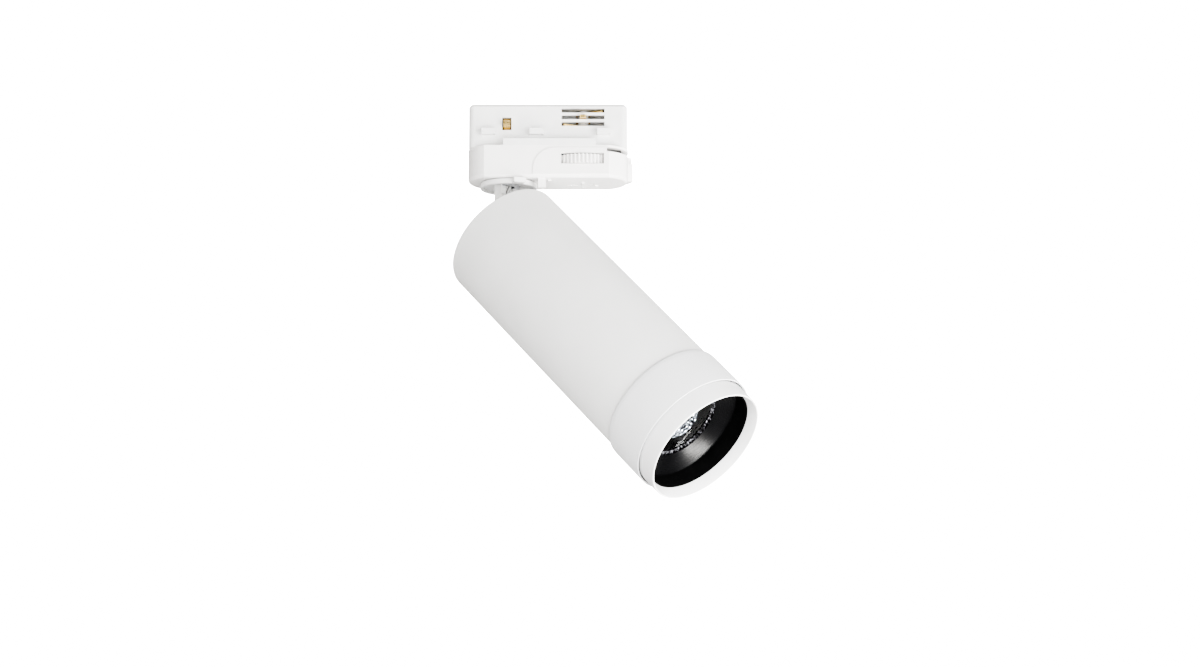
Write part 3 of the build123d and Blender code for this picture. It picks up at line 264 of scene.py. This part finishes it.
def turned_black(name):
    """Glossy black anodising over fine lathe rings; the low IOR darkens its reflections."""
    mat = Material(name, IOR=1.25)
    rings = mat.noise(RING_SIZE, 2.0, 0.6, mat.along(LAMP_DIR))
    mat.tint(mat.noise(5.0, 2.0), (0.0015, 0.0015, 0.002), (0.003, 0.003, 0.0035))
    mat.rough(rings, 0.2, 0.3)
    mat.bump(rings, 0.003, 0.5)
    return mat.material


def matte_black(name):
    """Flat black paint; the low IOR keeps its sheen as dark as in the photograph."""
    mat = Material(name, IOR=1.16)
    grain = mat.noise(0.2, 2.0, 0.6)
    mat.tint(mat.noise(6.0, 2.0), (0.003, 0.003, 0.003), (0.005, 0.005, 0.005))
    mat.rough(grain, 0.62, 0.8)
    mat.bump(grain, 0.012, 0.6)
    return mat.material


def clear(name, tint, roughness, ior):
    """Transparent plastic or glass with a faint haze."""
    mat = Material(name, IOR=ior)
    mat.shader.inputs["Transmission Weight"].default_value = 1.0
    haze = mat.noise(3.0, 2.0)
    mat.tint(haze, tint, (1.0, 1.0, 1.0))
    mat.rough(haze, roughness * 0.6, roughness)
    return mat.material


def faceted(name):
    """Clear moulded lenslets: partly mirror-like, standing for total internal reflection, with painted glints in a
    random bright and near-black speckle.
    """
    mat = Material(name, IOR=1.49, Metallic=0.75)
    painted_glints = mat.noise(1.5, 2.0, 0.7)
    # painted glints: the base colour noise runs from near black to bright blue-white in random patches, standing
    # for the sparkle of the facets
    mat.tint(painted_glints, (0.004, 0.005, 0.008), (0.60, 0.66, 0.74), 0.45, 0.57)
    mat.rough(mat.noise(1.6, 2.0), 0.05, 0.12)
    return mat.material


def sparkling(name):
    """Clear toothed plastic, coloured near-black as if seen through to the cone, with a random speckle of painted
    glints.
    """
    mat = Material(name, IOR=1.5, Metallic=0.4)
    painted_glints = mat.noise(1.5, 2.0, 0.7)
    # painted glints: the base colour noise runs from near black to pale grey in random patches, not tied to the
    # tooth tips
    mat.tint(painted_glints, (0.003, 0.003, 0.004), (0.22, 0.22, 0.24), 0.47, 0.62)
    mat.rough(mat.noise(1.2, 2.0), 0.08, 0.16)
    return mat.material


FINISHES = {
    "white_plastic": (moulded, (0.875, 0.865, 0.85), (0.85, 0.84, 0.825)),
    "insert_plastic": (moulded, (0.80, 0.80, 0.79), (0.76, 0.76, 0.75), 0.4, 0.55),
    "white_paint": (powder_coat, (0.80, 0.80, 0.79), (0.775, 0.775, 0.765)),
    "collar_paint": (powder_coat, (0.80, 0.805, 0.81), (0.78, 0.785, 0.79)),
    "zinc_steel": (metal, (0.72, 0.73, 0.75), (0.55, 0.56, 0.58), 0.25, 0.42),
    "contact_brass": (metal, (0.86, 0.66, 0.30), (0.70, 0.50, 0.20), 0.22, 0.4),
    "terminal_nylon": (moulded, (0.86, 0.85, 0.80), (0.80, 0.79, 0.74), 0.45, 0.6),
    "live_insulation": (moulded, (0.30, 0.12, 0.05), (0.22, 0.09, 0.04)),
    "neutral_insulation": (moulded, (0.06, 0.16, 0.50), (0.04, 0.12, 0.4)),
    "earth_insulation": (moulded, (0.55, 0.6, 0.06), (0.10, 0.35, 0.06)),
    "lead_sheath": (moulded, (0.80, 0.80, 0.78), (0.74, 0.74, 0.72), 0.5, 0.65),
    "ring_paint": (moulded, (0.88, 0.88, 0.88), (0.86, 0.86, 0.86), 0.3, 0.42, 0.3, 0.008),
    "washer_fibre": (moulded, (0.05, 0.05, 0.05), (0.03, 0.03, 0.03), 0.4, 0.6),
    "circuit_board": (moulded, (0.03, 0.20, 0.07), (0.02, 0.15, 0.05), 0.25, 0.4),
    "ferrite": (moulded, (0.05, 0.05, 0.055), (0.03, 0.03, 0.035), 0.5, 0.7),
    "winding_tape": (moulded, (0.82, 0.66, 0.10), (0.75, 0.58, 0.07), 0.25, 0.4),
    "capacitor_sleeve": (moulded, (0.02, 0.03, 0.06), (0.01, 0.02, 0.04), 0.2, 0.3),
    "raw_aluminium": (metal, (0.80, 0.81, 0.82), (0.70, 0.71, 0.72), 0.3, 0.45),
    "board_white": (moulded, (0.85, 0.85, 0.83), (0.80, 0.80, 0.78), 0.2, 0.35),
    "phosphor": (moulded, (0.95, 0.74, 0.16), (0.90, 0.66, 0.12), 0.15, 0.3),
    "black_plastic": (moulded, (0.016, 0.016, 0.016), (0.01, 0.01, 0.01), 0.35, 0.5),
    "black_anodised": (turned_black,),
    "black_matte": (matte_black,),
    "optic_acrylic": (clear, (0.95, 0.97, 0.98), 0.04, 1.49),
    "lens_glass": (clear, (0.97, 0.985, 0.98), 0.02, 1.5),
    "retainer_plastic": (sparkling,),
}
M = {name: make(name, *values) for name, (make, *values) in FINISHES.items()}

for subpart in frame["record"]["subparts"]:
    node = frame["nodes"][subpart["node"]]
    node.data.materials.clear()
    node.data.materials.append(M[subpart["material_slot"]])


def piece(obj, body, slot, *nodes, material=None):
    """Give a new piece its material, the body it rides on and the nodes it stands for."""
    obj.data.materials.append(material or M[slot])
    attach(obj, body)
    if nodes:
        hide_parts(*nodes)


# ----------------------------------------------------------------------
# Turned pieces: (radius, position along the lamp, fillet) corners, in mm
# ----------------------------------------------------------------------
shell = lathe(
    "body_shell",
    [
        (25.4, 0.0, 0.25),
        (27.2, 0.0, 0.6),
        (27.2, 117.5, 0.05),
        (26.6, 117.5, 0.05),
        (26.6, 118.3, 0.05),
        (27.2, 118.3, 0.05),
        (27.2, 119.5, 0.3),
        (25.4, 119.5, 0.3),
    ],
)
piece(shell, "head", "white_paint", "body_tube")

collar = lathe(
    "zoom_collar",
    [
        (27.62, 116.3, 0.0),
        (27.78, 116.3, 0.06),
        (28.2, 117.3, 1.2),
        (28.35, 118.9, 2.0),
        (28.35, 137.1, 0.22),
        (27.85, 137.1, 0.1),
        (27.5, 135.9, 0.3),
        (27.5, 131.2, 0.1),
        (26.3, 131.2, 0.1),
        (26.3, 119.8, 0.1),
        (27.25, 119.8, 0.05),
        (27.25, 118.4, 0.05),
        (27.62, 118.4, 0.05),
    ],
)
piece(collar, "focus_collar", "collar_paint", "focus_collar")

ring = lathe(
    "front_bezel",
    [
        (25.2, 124.9, 0.1),
        (26.0, 124.9, 0.2),
        (26.0, 136.5, 0.1),
        (27.1, 136.5, 0.15),
        (27.1, 145.7, 0.3),
        (26.4, 145.7, 0.25),
        (25.0, 140.9, 0.1),
        (25.2, 140.9, 0.0),
    ],
)
piece(ring, "zoom_carriage", "ring_paint", "front_ring")

band = lathe(
    "baffle_band",
    [
        (24.6, 133.7, 0.0),
        (25.2, 133.7, 0.0),
        (25.2, 140.9, 0.1),
        (24.6, 140.9, 0.15),
    ],
)
piece(band, "zoom_carriage", "black_matte", "baffle_sleeve")

cone = lathe(
    "lens_cone",
    [
        (25.2, 133.7, 0.0),
        (24.6, 133.7, 0.12),
        (17.2, 129.8, 0.12),
        (17.2, 124.2, 0.1),
        (16.0, 124.2, 0.1),
        (16.0, 123.2, 0.2),
        (18.4, 123.2, 0.2),
        (18.4, 129.2, 0.6),
        (25.2, 132.5, 0.1),
    ],
)
piece(cone, "zoom_carriage", "black_anodised", "baffle_cone")

inner = lathe(
    "source_cone",
    [
        (12.4, 112.0, 0.1),
        (22.2, 116.4, 0.3),
        (22.2, 100.0, 0.1),
        (23.2, 100.0, 0.1),
        (23.2, 117.6, 0.2),
        (22.2, 117.6, 0.2),
        (12.4, 113.2, 0.15),
    ],
)
piece(inner, "head", "black_anodised", "inner_cone")


LENS_RADIUS = 17.1
LENS_REAR = 124.3
LENS_CURVE = 48.7
LENS_STEPS = 20


def sphere_sag(radius, curve):
    """Depth of a spherical surface below its top at a radius from its middle."""
    return curve - sqrt(curve * curve - radius * radius)


def lens_profile():
    """Plano-convex lens, the bulging side towards the light source."""
    points = [(0, 129.0), (16.0, 129.0), (16.9, 128.9), (LENS_RADIUS, 128.7)]
    for step in range(LENS_STEPS + 1):
        radius = LENS_RADIUS * (1 - step / LENS_STEPS)
        points.append((radius, LENS_REAR + sphere_sag(radius, LENS_CURVE)))
    return points


lens = disc_lathe("front_lens", lens_profile(), LENS_SMOOTH_ANGLE)
piece(lens, "zoom_carriage", "lens_glass", "zoom_lens")

TEETH = 60
TOOTH_FRONTS = (129.1, 129.68, 129.68, 129.1)  # root, tip, tip, root of one tooth
RETAINER_REAR = 129.02


def toothed_ring(name):
    """Pressed-in retainer: a ring whose front is cut into short radial teeth."""
    bm = bmesh.new()
    sections = []
    count = TEETH * len(TOOTH_FRONTS)
    for k in range(count):
        angle = 2 * pi * k / count
        front = TOOTH_FRONTS[k % len(TOOTH_FRONTS)]
        section = (
            (15.5, RETAINER_REAR),
            (LENS_RADIUS, RETAINER_REAR),
            (LENS_RADIUS, front),
            (16.2, front),
            (15.5, 129.08),
        )
        sections.append([bm.verts.new(on_lamp(r, angle, t)) for r, t in section])
    close_ring(bm, sections)
    return finish_mesh(bm, name, TOOTH_SMOOTH_ANGLE)


piece(toothed_ring("lens_teeth"), "zoom_carriage", "retainer_plastic", "lens_retainer")

LENSLET_PITCH = 2.6
LENSLET_DEPTH = 0.35
OPTIC_RADIUS = 11.15
OPTIC_TOP = 112.12
OPTIC_FALL = 0.004  # how fast the dome falls away, per mm squared
PEBBLE_PITCH = 2.4
PEBBLE_DEPTH = 0.55
PEBBLE_RADIUS = 8.15
PEBBLE_REAR = 129.01
PEBBLE_TOP = 129.69
PEBBLE_FALL = 0.0035
AROUND = 180  # columns of a honeycomb front
INWARD = 56  # rows of a honeycomb front


def lenslets(x, y, pitch):
    """How far a point lies below the top of its hexagonal lenslet, from 0 to 1."""
    row_pitch = pitch * sqrt(3) / 2
    row = round(y / row_pitch)
    nearest = pitch**2
    for r in (row - 1, row, row + 1):
        shift = 0.5 * (r % 2)
        column = round(x / pitch - shift)
        dx = x - (column + shift) * pitch
        dy = y - r * row_pitch
        nearest = min(nearest, dx * dx + dy * dy)
    return 3 * nearest / pitch**2


def optic_front(x, y):
    """Front of the primary optic: lenslets on a shallow dome, in mm."""
    dimple = LENSLET_DEPTH * lenslets(x, y, LENSLET_PITCH)
    return OPTIC_TOP - dimple - OPTIC_FALL * (x * x + y * y)


def pebble_front(x, y):
    """Raised middle of the lens: finer lenslets that fall away towards the edge, in mm."""
    dimple = PEBBLE_DEPTH * lenslets(x, y, PEBBLE_PITCH)
    return PEBBLE_TOP - dimple - PEBBLE_FALL * (x * x + y * y)


def honeycomb(name, flank, front_radius, front_height):
    """Solid with a turned flank and a front whose height is a function of the place on it."""
    bm = bmesh.new()
    columns = []
    for k in range(AROUND):
        angle = 2 * pi * k / AROUND
        column = [bm.verts.new(on_lamp(r, angle, t)) for r, t in flank]
        for i in range(INWARD):
            radius = front_radius * (1 - i / INWARD)
            front = front_height(radius * cos(angle), radius * sin(angle))
            column.append(bm.verts.new(on_lamp(radius, angle, front)))
        columns.append(column)
    tip = bm.verts.new(on_lamp(0, 0, front_height(0, 0)))
    base = bm.verts.new(on_lamp(0, 0, flank[0][1]))
    for k, near in enumerate(columns):
        far = columns[(k + 1) % AROUND]
        bm.faces.new((base, near[0], far[0]))
        for i in range(len(near) - 1):
            bm.faces.new((near[i], near[i + 1], far[i + 1], far[i]))
        bm.faces.new((near[-1], tip, far[-1]))
    return finish_mesh(bm, name, LENSLET_SMOOTH_ANGLE)


OPTIC_FLANK = (
    (4.6, 100.65),
    (5.4, 101.6),
    (6.5, 103.0),
    (7.4, 104.3),
    (8.6, 107.0),
    (9.6, 109.4),
    (10.0, 110.45),
)
optic = honeycomb("honeycomb_optic", OPTIC_FLANK, OPTIC_RADIUS, optic_front)
piece(optic, "head", "optic_acrylic", "primary_optic")
PEBBLE_FLANK = ((PEBBLE_RADIUS, PEBBLE_REAR),)
pebbles = honeycomb("lens_pebbles", PEBBLE_FLANK, PEBBLE_RADIUS, pebble_front)
piece(pebbles, "zoom_carriage", "lens_glass", material=faceted("lens_lenslets"))

# ----------------------------------------------------------------------
# CAD nodes that stay: their edges are broken slightly, by these widths in mm
# ----------------------------------------------------------------------
BROKEN_EDGES = {
    "housing_front": 0.18,
    "housing_rear": 0.18,
    "track_insert": 0.2,
    "locking_lever": 0.3,
    "selector_wheel": 0.1,
    "swivel_disc": 0.15,
    "tilt_arm": 0.2,
    "arm_cover": 0.15,
    "back_cap": 0.15,
    "lock_lug": 0.15,
}
BROKEN_ANGLE = 35
for node_name, width in BROKEN_EDGES.items():
    bevel = frame["nodes"][node_name].modifiers.new("broken_edges", "BEVEL")
    bevel.width = width * MM
    bevel.segments = 2
    bevel.limit_method = "ANGLE"
    bevel.angle_limit = radians(BROKEN_ANGLE)
    bevel.harden_normals = True

# ----------------------------------------------------------------------
# Camera and light
# ----------------------------------------------------------------------
CAMERA_SPOT = (0.02274, -1.14298, -0.29283)
CAMERA_RISE = 10.342  # degrees above level that the camera looks
CAMERA_LENS = 80.25

camera_data = bpy.data.cameras.new("camera")
camera_data.sensor_width = 36.0
camera_data.lens = CAMERA_LENS
camera_data.clip_start = 0.01
camera_data.clip_end = 20.0
camera = bpy.data.objects.new("camera", camera_data)
camera.location = CAMERA_SPOT
camera.rotation_euler = (radians(90 + CAMERA_RISE), 0, 0)
bpy.context.scene.collection.objects.link(camera)
bpy.context.scene.camera = camera


def area_light(name, location, target, size, power, colour, size_y=None):
    """Soft light aimed at a target, which the camera itself doesn't see."""
    data = bpy.data.lights.new(name, "AREA")
    data.energy = power
    data.color = colour
    data.size = size
    if size_y:
        data.shape = "RECTANGLE"
        data.size_y = size_y
    light = bpy.data.objects.new(name, data)
    light.location = location
    light.visible_camera = False
    aim = Vector(target) - Vector(location)
    light.rotation_euler = aim.to_track_quat("-Z", "Y").to_euler()
    bpy.context.scene.collection.objects.link(light)


CENTRE = Vector((0.03, -0.03, -0.08))
WHITE = (1.0, 1.0, 1.0)
# name, place, size in metres, power in watts, colour
SOFT_LIGHTS = (
    ("fill", (1.3, -1.1, 0.1), 1.2, 8.7, (1.0, 0.975, 0.95)),
    ("under", (0.1, -0.9, -0.38), 0.9, 11.6, WHITE),
    ("top", (0.0, 0.1, 1.4), 1.2, 5.6, (1.0, 0.96, 0.92)),
    ("left", (-1.3, -0.7, 0.2), 1.0, 8.4, (1.0, 0.965, 0.93)),
    ("right_low", (1.0, -0.8, -0.3), 0.8, 17.6, WHITE),
    ("back_right", (1.2, 0.6, 0.3), 1.0, 8.6, WHITE),
)
for light_name, place, size, power, colour in SOFT_LIGHTS:
    area_light(light_name, place, CENTRE, size, power, colour)

# a narrow light in front of the mouth draws the streak down the black cone
MOUTH = on_lamp(0, 0, 131)
STREAK = Vector((0.72, -0.35, -0.60)).normalized()
STREAK_DISTANCE = 0.44
streak_place = MOUTH + STREAK * STREAK_DISTANCE
area_light("streak", streak_place, MOUTH, 0.03, 2.2, (1.0, 0.98, 0.95), 0.16)

WORLD_AS_LIGHT = 0.36
WORLD_AS_SEEN = 8.0

world = bpy.data.worlds.new("studio")
world.use_nodes = True
bpy.context.scene.world = world
world_nodes = world.node_tree.nodes
world_links = world.node_tree.links
background = world_nodes["Background"]
path = world_nodes.new("ShaderNodeLightPath")
level = world_nodes.new("ShaderNodeMapRange")
level.inputs["To Min"].default_value = WORLD_AS_LIGHT
level.inputs["To Max"].default_value = WORLD_AS_SEEN
world_links.new(path.outputs["Is Camera Ray"], level.inputs["Value"])
world_links.new(level.outputs["Result"], background.inputs["Strength"])
background.inputs["Color"].default_value = (1.0, 1.0, 1.0, 1)


FLOOR_HALF_WIDTH = 6.0
FLOOR_GRID = 24
FLOOR_HEIGHT = -0.7


def floor():
    """Large pale floor well below the lamp."""
    bm = bmesh.new()
    bmesh.ops.create_grid(
        bm, x_segments=FLOOR_GRID, y_segments=FLOOR_GRID, size=FLOOR_HALF_WIDTH
    )
    bmesh.ops.translate(bm, vec=(0, 0, FLOOR_HEIGHT), verts=bm.verts)
    made = finish_mesh(bm, "floor")
    mat = Material("floor_paper", Roughness=0.8)
    mat.tint(mat.noise(40.0, 2.0), (0.82, 0.82, 0.82), (0.86, 0.86, 0.86))
    made.data.materials.append(mat.material)


floor()

scene = bpy.context.scene
scene.view_settings.view_transform = "AgX"
scene.view_settings.look = "AgX - High Contrast"
